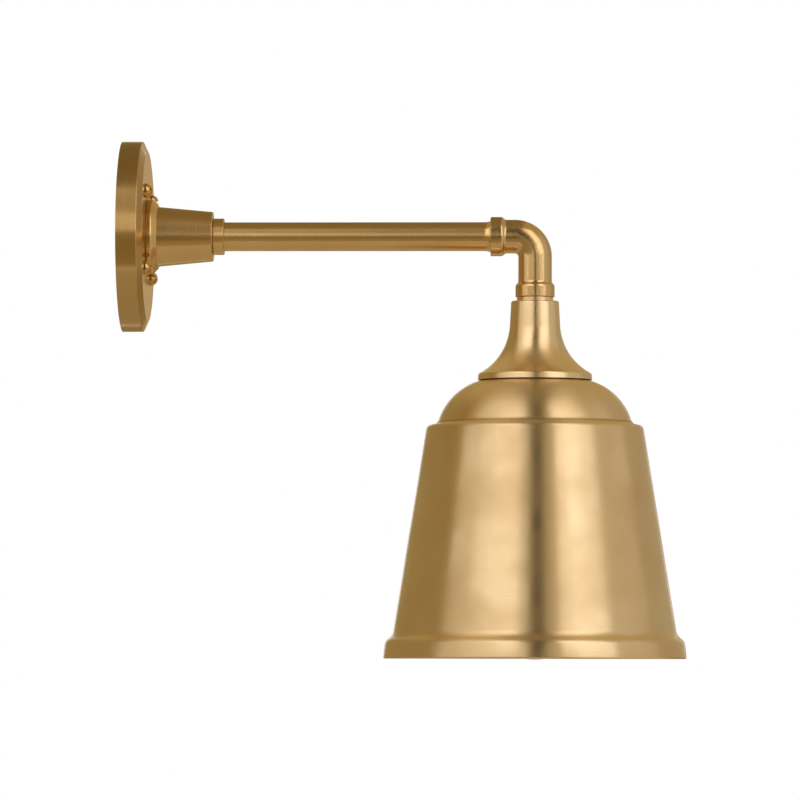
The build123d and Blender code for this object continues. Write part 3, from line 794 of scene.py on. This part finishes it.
@dataclass
class Arm(SubAssembly):
    """The socket on the plate, the collar at its mouth and the pipe. Sizes in millimetres."""

    plate_depth: float = 17.0
    thread_r: float = 5.0
    flange_r: float = 25.2
    flange_rim: float = 3.4
    flange_depth: float = 7.0
    flange_top_r: float = 21.5
    flange_foot_round: float = 0.8
    flange_rim_round: float = 2.4
    flange_top_round: float = 0.5
    cone_base_r: float = 20.1
    cone_end_r: float = 16.65
    cone_end_x: float = 60.9
    cone_mouth_round: float = 0.6
    collar_r: float = 12.27
    collar_x: tuple[float, float] = (61.2, 68.3)
    collar_round: float = 0.4
    pipe_r: float = 9.7
    pipe_bore_r: float = 8.2
    socket_bore_x: float = 30.0
    socket_web_x: float = 27.0
    pipe_flare_r: float = 10.5
    pipe_flare_x: float = 243.4
    pipe_end_x: float = 247.2
    spigot_r: float = 9.2
    spigot_end_x: float = 260.0
    # Painted shade: the same brass as the drop, drawn darker for the arm.
    colour: str = "#E9C48C"
    shadow_colour: str = "#DFB67A"

    def build(self) -> None:
        """Turns the three pieces."""
        # Honey-coloured and even, drawn darker than the drop's brass as painted shade, with crisp
        # bands of light along the pipe.
        brass = TurnedBrass(
            "brushed_brass_arm_painted_shade", TurnAxis.ARM, colour=self.colour,
            shadow_colour=self.shadow_colour, roughness=0.25, smear=0.3, line_mm=1.5,
            line_length_mm=50.0, line_swing=0.05, patch_swing=0.06,
        )
        spine = ArmSpine()
        self.put("arm_socket", self.socket_outline(), spine, brass)
        self.put("arm_collar", self.collar_outline(), spine, brass)
        self.put("arm_pipe", self.pipe_outline(), spine, brass)

    def socket_outline(self) -> Outline:
        """Draws the flange and the cone round their bore.

        Returns:
            The outline.
        """
        top_x = self.plate_depth + self.flange_depth
        rim_x = self.plate_depth + self.flange_rim
        slope = math.degrees(math.atan2(self.flange_top_r - self.flange_r, top_x - rim_x))
        taper = math.degrees(
            math.atan2(self.cone_end_r - self.cone_base_r, self.cone_end_x - top_x)
        )
        pen = Outline(self.plate_depth, self.thread_r)
        pen.corner(self.plate_depth, self.flange_r, 0, self.flange_foot_round)
        pen.corner(rim_x, self.flange_r, slope, self.flange_rim_round)
        pen.corner(top_x, self.flange_top_r, -90, self.flange_top_round)
        pen.corner(top_x, self.cone_base_r, taper)
        pen.corner(self.cone_end_x, self.cone_end_r, -90, self.cone_mouth_round)
        pen.to(self.cone_end_x, self.pipe_r).to(self.socket_bore_x, self.pipe_r)
        pen.to(self.socket_bore_x, self.pipe_bore_r).to(self.socket_web_x, self.pipe_bore_r)
        return pen.to(self.socket_web_x, self.thread_r)

    def collar_outline(self) -> Outline:
        """Draws the plain ring.

        Returns:
            The outline.
        """
        start, end = self.collar_x
        pen = Outline(start, self.pipe_r)
        pen.corner(start, self.collar_r, 0, self.collar_round)
        pen.corner(end, self.collar_r, -90, self.collar_round)
        return pen.to(end, self.pipe_r)

    def pipe_outline(self) -> Outline:
        """Draws the tube, from its end in the socket to its spigot in the elbow.

        Returns:
            The outline.
        """
        pen = Outline(self.socket_bore_x, self.pipe_bore_r)
        pen.to(self.socket_bore_x, self.pipe_r).to(self.pipe_flare_x, self.pipe_r)
        pen.arc_to(self.pipe_end_x, self.pipe_flare_r, 3.0)
        pen.to(self.pipe_end_x, self.spigot_r).to(self.spigot_end_x, self.spigot_r)
        return pen.to(self.spigot_end_x, self.pipe_bore_r)


@dataclass
class Elbow(SubAssembly):
    """The cast quarter bend with a bead at each mouth. Sizes in millimetres."""

    start_x: float = 247.5
    reach: float = 277.4
    bend_radius: float = 13.5
    foot_depth: float = 40.8
    radius: float = 11.3
    bead_r: float = 13.2
    bead_round: float = 0.6
    bead_flat: float = 6.8
    fade_end: float = 11.0
    spigot_r: float = 9.2
    spigot_depth: float = 12.5
    bore_r: float = 7.5
    thread_r: float = 5.0
    thread_depth: float = 14.8
    bend_parts: int = 30
    arm_parts: int = 4
    drop_parts: int = 6
    sides: int = 96

    def build(self) -> None:
        """Makes the bend."""
        bend_x = self.reach - self.bend_radius
        spine = ElbowSpine(self.start_x, bend_x, self.bend_radius)
        # A smooth gloss with no lines, sharper than the turned brass, that lights the beads' edges;
        # its colour is the drop's brass drawn darker as painted shade.
        polished = WorkedMetal(
            "cast_brass_hand_polished_painted_shade", "#EBCB9C", "#DDB985", 0.2, grain_depth_mm=0.00012
        )
        self.put("elbow", self.outline(bend_x - self.start_x), spine, polished, self.sides)

    def outline(self, lead: float) -> Outline:
        """Draws the bend's outside and bore, as if it were straight.

        Args:
            lead: How far the first mouth stands before the bend.

        Returns:
            The outline.
        """
        round_bend = math.pi / 2 * self.bend_radius
        length = lead + round_bend + self.foot_depth - self.bend_radius
        drop = (self.bead_r - self.radius) / 2
        fade = (self.fade_end - self.bead_flat) / 2
        half = math.degrees(math.atan2(drop, fade))
        curve = math.hypot(drop, fade) / (2 * math.sin(math.radians(half)))
        pen = Outline(0, self.spigot_r)
        pen.corner(0, self.bead_r, 0, self.bead_round)
        pen.run(self.bead_flat - self.bead_round).bend(curve, -2 * half).bend(curve, 2 * half)
        pen.run(lead - self.fade_end, self.arm_parts).run(round_bend, self.bend_parts)
        pen.run(length - lead - round_bend - self.fade_end, self.drop_parts)
        pen.bend(curve, 2 * half).bend(curve, -2 * half)
        pen.corner(length, self.bead_r, -90, self.bead_round).to(length, self.thread_r)
        pen.to(length - self.thread_depth, self.thread_r)
        pen.to(length - self.thread_depth, self.bore_r)
        pen.turn(180).run(length - self.thread_depth - lead - round_bend)
        pen.run(round_bend, self.bend_parts).run(lead - self.spigot_depth)
        return pen.to(self.spigot_depth, self.spigot_r)


@dataclass
class Drop(SubAssembly):
    """The seat ring, the neck and the shade, with what clamps them. Sizes in millimetres."""

    reach: float = 277.4
    thread_r: float = 5.0
    seat_r: float = 12.2
    seat_depth: tuple[float, float] = (40.8, 43.4)
    seat_round: float = 0.4
    neck_edge_round: float = 1.2
    neck_lean: float = 3.1
    waist: tuple[float, float] = (59.7, 16.906)
    trumpet_r: float = 38.8
    trumpet_turn: float = 58.49
    lip_round: float = 2.0
    lip_lean: float = 4.04
    foot_r: float = 38.5
    foot_depth: float = 96.5
    foot_round: float = 0.4
    neck_wall: float = 2.0
    neck_seat_r: float = 33.0
    neck_seat_h: float = 3.0
    shade_wall: float = 1.2
    dome_r: float = 40.2
    dome_flat_r: float = 35.4
    dome_heading: tuple[float, float] = (76.9, 18.49)
    groove_r: float = 5.55
    groove_lean: float = 88.6
    shoulder_r: float = 3.57
    skirt_lean: float = 9.18
    skirt_end: float = 264.35
    flare_r: float = 8.2
    flare_lean: float = 56.7
    rim_corner_r: float = 4.95
    rim_lean: float = 10.5
    rim_r: float = 101.6
    hem_depth: float = 281.95
    hem_r: float = 1.35
    hem_turn: float = 262.0
    # Even but not a multiple of 4, so that the rim just stays inside the solids' box.
    shade_sides: int = 222

    def build(self) -> None:
        """Turns the three brass pieces."""
        centre = (self.reach * MM, 0.0, 0.0)
        spine = DropSpine(self.reach)
        # Pale straw-coloured satin, with a highlight that runs a little down the neck.
        turned = TurnedBrass(
            "brushed_brass_drop", centre=centre, roughness=0.29, smear=0.5,
            line_depth_mm=0.001, line_swing=0.08,
        )
        # The same colour in a softer satin, with wide bands of light that fade down the skirt.
        # Painted shade darkens where the neck stands on the dome, and more faintly in the groove.
        spun = TurnedBrass(
            "spun_brass_shade_painted_seams", centre=centre, line_swing=0.04,
            painted_shade_seams=((-96.6, 1.1, 0.9), (-124.9, 0.8, 0.4)),
        )
        self.put("seat_ring", self.seat_outline(), spine, turned)
        self.put("neck", self.neck_outline(), spine, turned)
        self.put("shade", self.shade_outline(), spine, spun, self.shade_sides)

    def finishes(self) -> dict[str, Finish]:
        """Gives the finish of each steel solid."""
        return {"drop_nipple": ZINC, "shade_washer": ZINC, "shade_nut": ZINC}

    def seat_outline(self) -> Outline:
        """Draws the thin ring between the elbow and the neck.

        Returns:
            The outline.
        """
        top, foot = self.seat_depth
        pen = Outline(top, self.thread_r).corner(top, self.seat_r, 0, self.seat_round)
        return pen.to(foot, self.seat_r).to(foot, self.thread_r)

    def neck_outline(self) -> Outline:
        """Draws the hollow trumpet with its lip and the ring that it stands on.

        Returns:
            The outline.
        """
        top = self.seat_depth[1]
        waist_depth, waist_r = self.waist
        lean = math.radians(self.neck_lean)
        top_r = waist_r - math.tan(lean) * (waist_depth - top)
        pen = Outline(top, self.thread_r)
        pen.corner(top, top_r, self.neck_lean, self.neck_edge_round)
        pen.to(waist_depth, waist_r).bend(self.trumpet_r, self.trumpet_turn, 3.0)
        inner = pen.inside(self.neck_wall)
        pen.bend(self.lip_round, self.lip_lean - pen.heading, 8.0)
        pen.corner(self.foot_depth, self.foot_r, -90, self.foot_round)
        pen.to(self.foot_depth, self.neck_seat_r)
        pen.to(self.foot_depth - self.neck_seat_h, self.neck_seat_r)
        return pen.join(inner)

    def shade_outline(self) -> Outline:
        """Draws the bell: flat top, dome, groove, shoulder, skirt, flare and rolled rim.

        Returns:
            The outline.
        """
        start, end = self.dome_heading
        pen = Outline(self.foot_depth, self.thread_r).to(self.foot_depth, self.dome_flat_r)
        pen.turn(start).bend(self.dome_r, end - start, 3.0)
        pen.bend(self.groove_r, self.groove_lean - end)
        pen.bend(self.shoulder_r, self.skirt_lean - self.groove_lean)
        fall = self.skirt_end - pen.stations[-1].along
        pen.run(fall / math.cos(math.radians(self.skirt_lean)), 6)
        pen.bend(self.flare_r, self.flare_lean - self.skirt_lean, 3.0)
        pen.bend(self.rim_corner_r, self.rim_lean - self.flare_lean, 3.0)
        inner = pen.inside(self.shade_wall)
        # The rim's band is crowned: it leans most at its top, where its highlight is.
        pen.arc_to(self.hem_depth, self.rim_r, 1.5)
        pen.turn(0).bend(self.hem_r, -self.hem_turn, 12.0)
        return pen.join(inner)


class Lampholder(SubAssembly):
    """The bracket, the porcelain body and the contacts."""

    def finishes(self) -> dict[str, Finish]:
        """Gives the finish of each solid."""
        # A raw yellow brass, duller than the lacquered pieces.
        contact = WorkedMetal("pressed_contact_brass", "#E3C27A", "#D2AE66", 0.3, 2.0)
        return {
            "holder_bracket": ZINC, "bracket_screws": ZINC,
            # Cream white under a wet shine.
            "holder_body": SolidFinish("glazed_porcelain"),
            "live_terminal": contact, "live_terminal_screw": contact, "centre_contact": contact,
            "neutral_terminal": NICKEL, "neutral_terminal_screw": NICKEL, "shell_strap": NICKEL,
            "screw_shell": NICKEL,
        }


class Leads(SubAssembly):
    """The two leads that run through the arm."""

    def finishes(self) -> dict[str, Finish]:
        """Gives the finish of each solid."""
        return {
            "live_conductor": COPPER, "neutral_conductor": COPPER,
            # Soft, nearly matt jackets that tell the two leads apart.
            "live_lead": SolidFinish("extruded_vinyl_black", "#1B1B1B", "#141414", 0.45),
            "neutral_lead": SolidFinish("extruded_vinyl_white", "#EDEDEA", "#E0E0DB", 0.45),
        }


class Lamp(SubAssembly):
    """The clear bulb, its cap and what stands inside it."""

    def finishes(self) -> dict[str, Finish]:
        """Gives the finish of each solid."""
        glass = BlownGlass("clear_blown_glass")
        return {
            # Silver white, with a satin streak on every crest of the thread.
            "lamp_cap": WorkedMetal("rolled_aluminium", "#DADBDC", "#C8CACC", 0.28, 1.5),
            # Blue-black and glassy round the contact.
            "lamp_insulator": SolidFinish("fused_black_glass", "#15151A", "#0E0E12", 0.1, 1.55),
            # A matt grey blob.
            "lamp_contact": WorkedMetal("dull_solder", "#B9B9B7", "#9D9D9B", 0.42, 0.8),
            "lamp_glass": glass, "lamp_stem": glass, "lamp_supports": NICKEL,
            # Dark grey wire that reads as a thread through the glass.
            "lamp_filament": WorkedMetal("drawn_tungsten", "#7C7976", "#68655F", 0.4, 0.5),
        }


@dataclass(frozen=True)
class SoftBox:
    """An upright soft box that stands round the object and faces it.

    Attributes:
        azimuth: Degrees from the camera's side, positive to the right.
        spread: Degrees that it is wide.
        low, high: Degrees of its lower and upper edges above the object.
        level: How bright its face is, where 1 is white.
        distance: Metres from the object.
    """

    name: str
    azimuth: float
    spread: float
    low: float
    high: float
    level: float
    distance: float = 5.0

    def place(self, target: Vector) -> None:
        """Makes the lamp and turns it to the target.

        Args:
            target: The point that it faces.
        """
        foot = self.distance * math.tan(math.radians(self.low))
        top = self.distance * math.tan(math.radians(self.high))
        lamp = bpy.data.lights.new(self.name, "AREA")
        lamp.shape = "RECTANGLE"
        lamp.size = 2 * self.distance * math.tan(math.radians(self.spread / 2))
        lamp.size_y = top - foot
        lamp.energy = self.level * math.pi * lamp.size * lamp.size_y
        holder = bpy.data.objects.new(self.name, lamp)
        turn = math.radians(self.azimuth)
        away = Vector((math.sin(turn), -math.cos(turn), 0.0))
        holder.location = target + away * self.distance + Vector((0, 0, (foot + top) / 2))
        holder.rotation_euler = (-away).to_track_quat("-Z", "Y").to_euler()
        holder.visible_camera = False
        bpy.context.scene.collection.objects.link(holder)


@dataclass(frozen=True)
class Card:
    """A grey card that keeps the white surround out of the metal. The camera doesn't see it."""

    name: str
    centre: tuple[float, float, float]
    facing: tuple[float, float, float]
    width: float
    height: float
    level: float
    colour: str = "#FFE5A0"

    def place(self) -> None:
        """Makes the card as part of the stage."""
        mesh = bpy.data.meshes.new(self.name)
        signs = ((-1, -1), (1, -1), (1, 1), (-1, 1))
        corners = [(self.width / 2 * across, self.height / 2 * up, 0) for across, up in signs]
        mesh.from_pydata(corners, [], [(0, 1, 2, 3)])
        card = bpy.data.objects.new(self.name, mesh)
        card.location = self.centre
        card.rotation_euler = Vector(self.facing).to_track_quat("Z", "Y").to_euler()
        card.visible_camera = False
        card.visible_shadow = False
        card.visible_transmission = False
        material, tree = blank_material(self.name)
        glow = add_node(
            tree, "ShaderNodeEmission",
            inputs={"Color": linear(self.colour), "Strength": self.level},
        ).outputs[0]
        add_node(tree, "ShaderNodeOutputMaterial", inputs={"Surface": glow})
        mesh.materials.append(material)
        bpy.context.scene.collection.objects.link(card)


@dataclass
class Studio:
    """The camera, the soft boxes, the cards, the floor and the white surround."""

    camera_place: tuple[float, float, float] = (0.3358, -4.034, -0.28115)
    camera_aim: tuple[float, float, float] = (0.18682, 0.0, -0.10987)
    lens_mm: float = 270.83
    sensor_mm: float = 36.0
    camera_roll: float = 0.11
    target: tuple[float, float, float] = (0.2, 0.0, -0.12)
    floor_x: float = 0.2
    floor_z: float = -1.2
    floor_radius: float = 1.35
    floor_sides: int = 96
    floor_colour: str = "#E4E3E0"
    floor_white: float = 0.75
    surround_level: float = 0.55

    def build(self) -> None:
        """Sets up the whole studio."""
        self.add_camera()
        self.add_world()
        self.add_floor()
        boxes = (
            SoftBox("soft_box_left", -27.5, 31.0, 6.0, 62.0, 0.97),
            SoftBox("soft_box_left_side", -50.0, 14.0, 2.0, 60.0, 0.76),
            SoftBox("soft_box_left_edge", -68.5, 23.0, -6.0, 60.0, 0.46),
            SoftBox("soft_box_right", 36.5, 28.0, 6.0, 62.0, 0.95),
            SoftBox("soft_box_right_side", 58.5, 16.0, 2.0, 60.0, 0.7),
            SoftBox("soft_box_centre", -8.3, 8.5, 13.0, 26.0, 0.85),
            SoftBox("soft_box_low", 5.0, 30.0, 5.5, 11.5, 0.9),
        )
        cards = (
            Card("card_front", (0.2, -13.0, 0.0), (0, 1, 0), 30.0, 23.0, 0.31),
            Card("card_left", (-8.3, 8.5, 0.0), (1, 0, 0), 43.0, 23.0, 0.31),
            Card("card_right", (8.7, -5.0, 0.0), (-1, 0, 0), 16.0, 23.0, 0.55, "#FFF3D7"),
            Card("card_right_far", (8.7, 16.5, 0.0), (-1, 0, 0), 27.0, 23.0, 0.42, "#FFEFCB"),
            Card("card_flag", (0.6, -4.88, 4.4), (0, 1, 0), 1.26, 6.7, 0.03),
            Card("card_flag_low", (0.5, -4.88, -0.3), (0, 1, 0), 0.9, 2.7, 0.04),
            Card("card_behind", (1.7, 13.0, 0.5), (0, -1, 0), 2.8, 10.0, 0.5, "#FFDC9F"),
            Card("card_low", (0.2, 14.0, -1.21), (0, 0, 1), 24.0, 25.0, 0.32),
            Card("card_top", (0.2, 8.5, 8.0), (0, 0, -1), 4.0, 43.0, 0.23),
            Card("card_top_left", (-6.4, 8.5, 8.0), (0, 0, -1), 9.2, 43.0, 0.45),
            Card("card_top_right", (6.8, 8.5, 8.0), (0, 0, -1), 9.2, 43.0, 0.45),
        )
        for box in boxes:
            box.place(Vector(self.target))
        for card in cards:
            card.place()
        LOG.info("studio: %d soft boxes, %d cards", len(boxes), len(cards))

    def add_camera(self) -> None:
        """Stands the camera where the photograph was taken from."""
        lens = bpy.data.cameras.new("camera")
        lens.lens = self.lens_mm
        lens.sensor_width = self.sensor_mm
        lens.clip_end = 100.0
        camera = bpy.data.objects.new("camera", lens)
        camera.location = self.camera_place
        sight = Vector(self.camera_aim) - Vector(self.camera_place)
        roll = Quaternion((0, 0, 1), math.radians(self.camera_roll))
        camera.rotation_euler = (sight.to_track_quat("-Z", "Y") @ roll).to_euler()
        bpy.context.scene.collection.objects.link(camera)
        bpy.context.scene.camera = camera

    def add_world(self) -> None:
        """Makes the surround white to the eye, to metal and to glass, and plain as a light."""
        world = bpy.data.worlds.new("surround")
        world.use_nodes = True
        tree = world.node_tree
        tree.nodes.clear()
        path = add_node(tree, "ShaderNodeLightPath")
        seen = path.outputs["Is Camera Ray"]
        for ray in ("Is Glossy Ray", "Is Transmission Ray"):
            seen = add_node(
                tree, "ShaderNodeMath", {"operation": "MAXIMUM"}, {0: seen, 1: path.outputs[ray]}
            ).outputs[0]
        level = add_node(
            tree, "ShaderNodeMapRange", inputs={0: seen, 3: self.surround_level, 4: 1.0}
        ).outputs[0]
        light = add_node(
            tree, "ShaderNodeBackground", inputs={"Color": linear("#FFFFFF"), "Strength": level}
        ).outputs[0]
        add_node(tree, "ShaderNodeOutputWorld", inputs={"Surface": light})
        bpy.context.scene.world = world

    def add_floor(self) -> None:
        """Lays a pale round floor well below the light, which the camera sees as nearly white."""
        turns = [math.tau * side / self.floor_sides for side in range(self.floor_sides)]
        ring = [
            (
                self.floor_x + self.floor_radius * math.cos(turn),
                self.floor_radius * math.sin(turn), self.floor_z,
            )
            for turn in turns
        ]
        mesh = bpy.data.meshes.new("floor")
        mesh.from_pydata(ring, [], [tuple(range(self.floor_sides))])
        floor = bpy.data.objects.new("floor", mesh)
        material, tree = blank_material("painted_studio_floor")
        path = add_node(tree, "ShaderNodeLightPath")
        paint = add_node(
            tree, "ShaderNodeBsdfDiffuse", inputs={"Color": linear(self.floor_colour)}
        ).outputs[0]
        white = add_node(tree, "ShaderNodeEmission", inputs={"Strength": 1.0}).outputs[0]
        share = add_node(
            tree, "ShaderNodeMath", {"operation": "MULTIPLY"},
            {0: path.outputs["Is Camera Ray"], 1: self.floor_white},
        ).outputs[0]
        mixed = add_node(
            tree, "ShaderNodeMixShader", inputs={0: share, 1: paint, 2: white}
        ).outputs[0]
        add_node(tree, "ShaderNodeOutputMaterial", inputs={"Surface": mixed})
        mesh.materials.append(material)
        bpy.context.scene.collection.objects.link(floor)


def main() -> None:
    """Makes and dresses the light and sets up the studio."""
    logging.basicConfig(level=logging.INFO, format="%(message)s")
    bpy.context.scene.view_settings.view_transform = "Standard"
    for group in (WallSide(), Arm(), Elbow(), Drop(), Lampholder(), Leads(), Lamp()):
        group.build()
        group.dress()
    Studio().build()


if __name__ == "__main__":
    main()
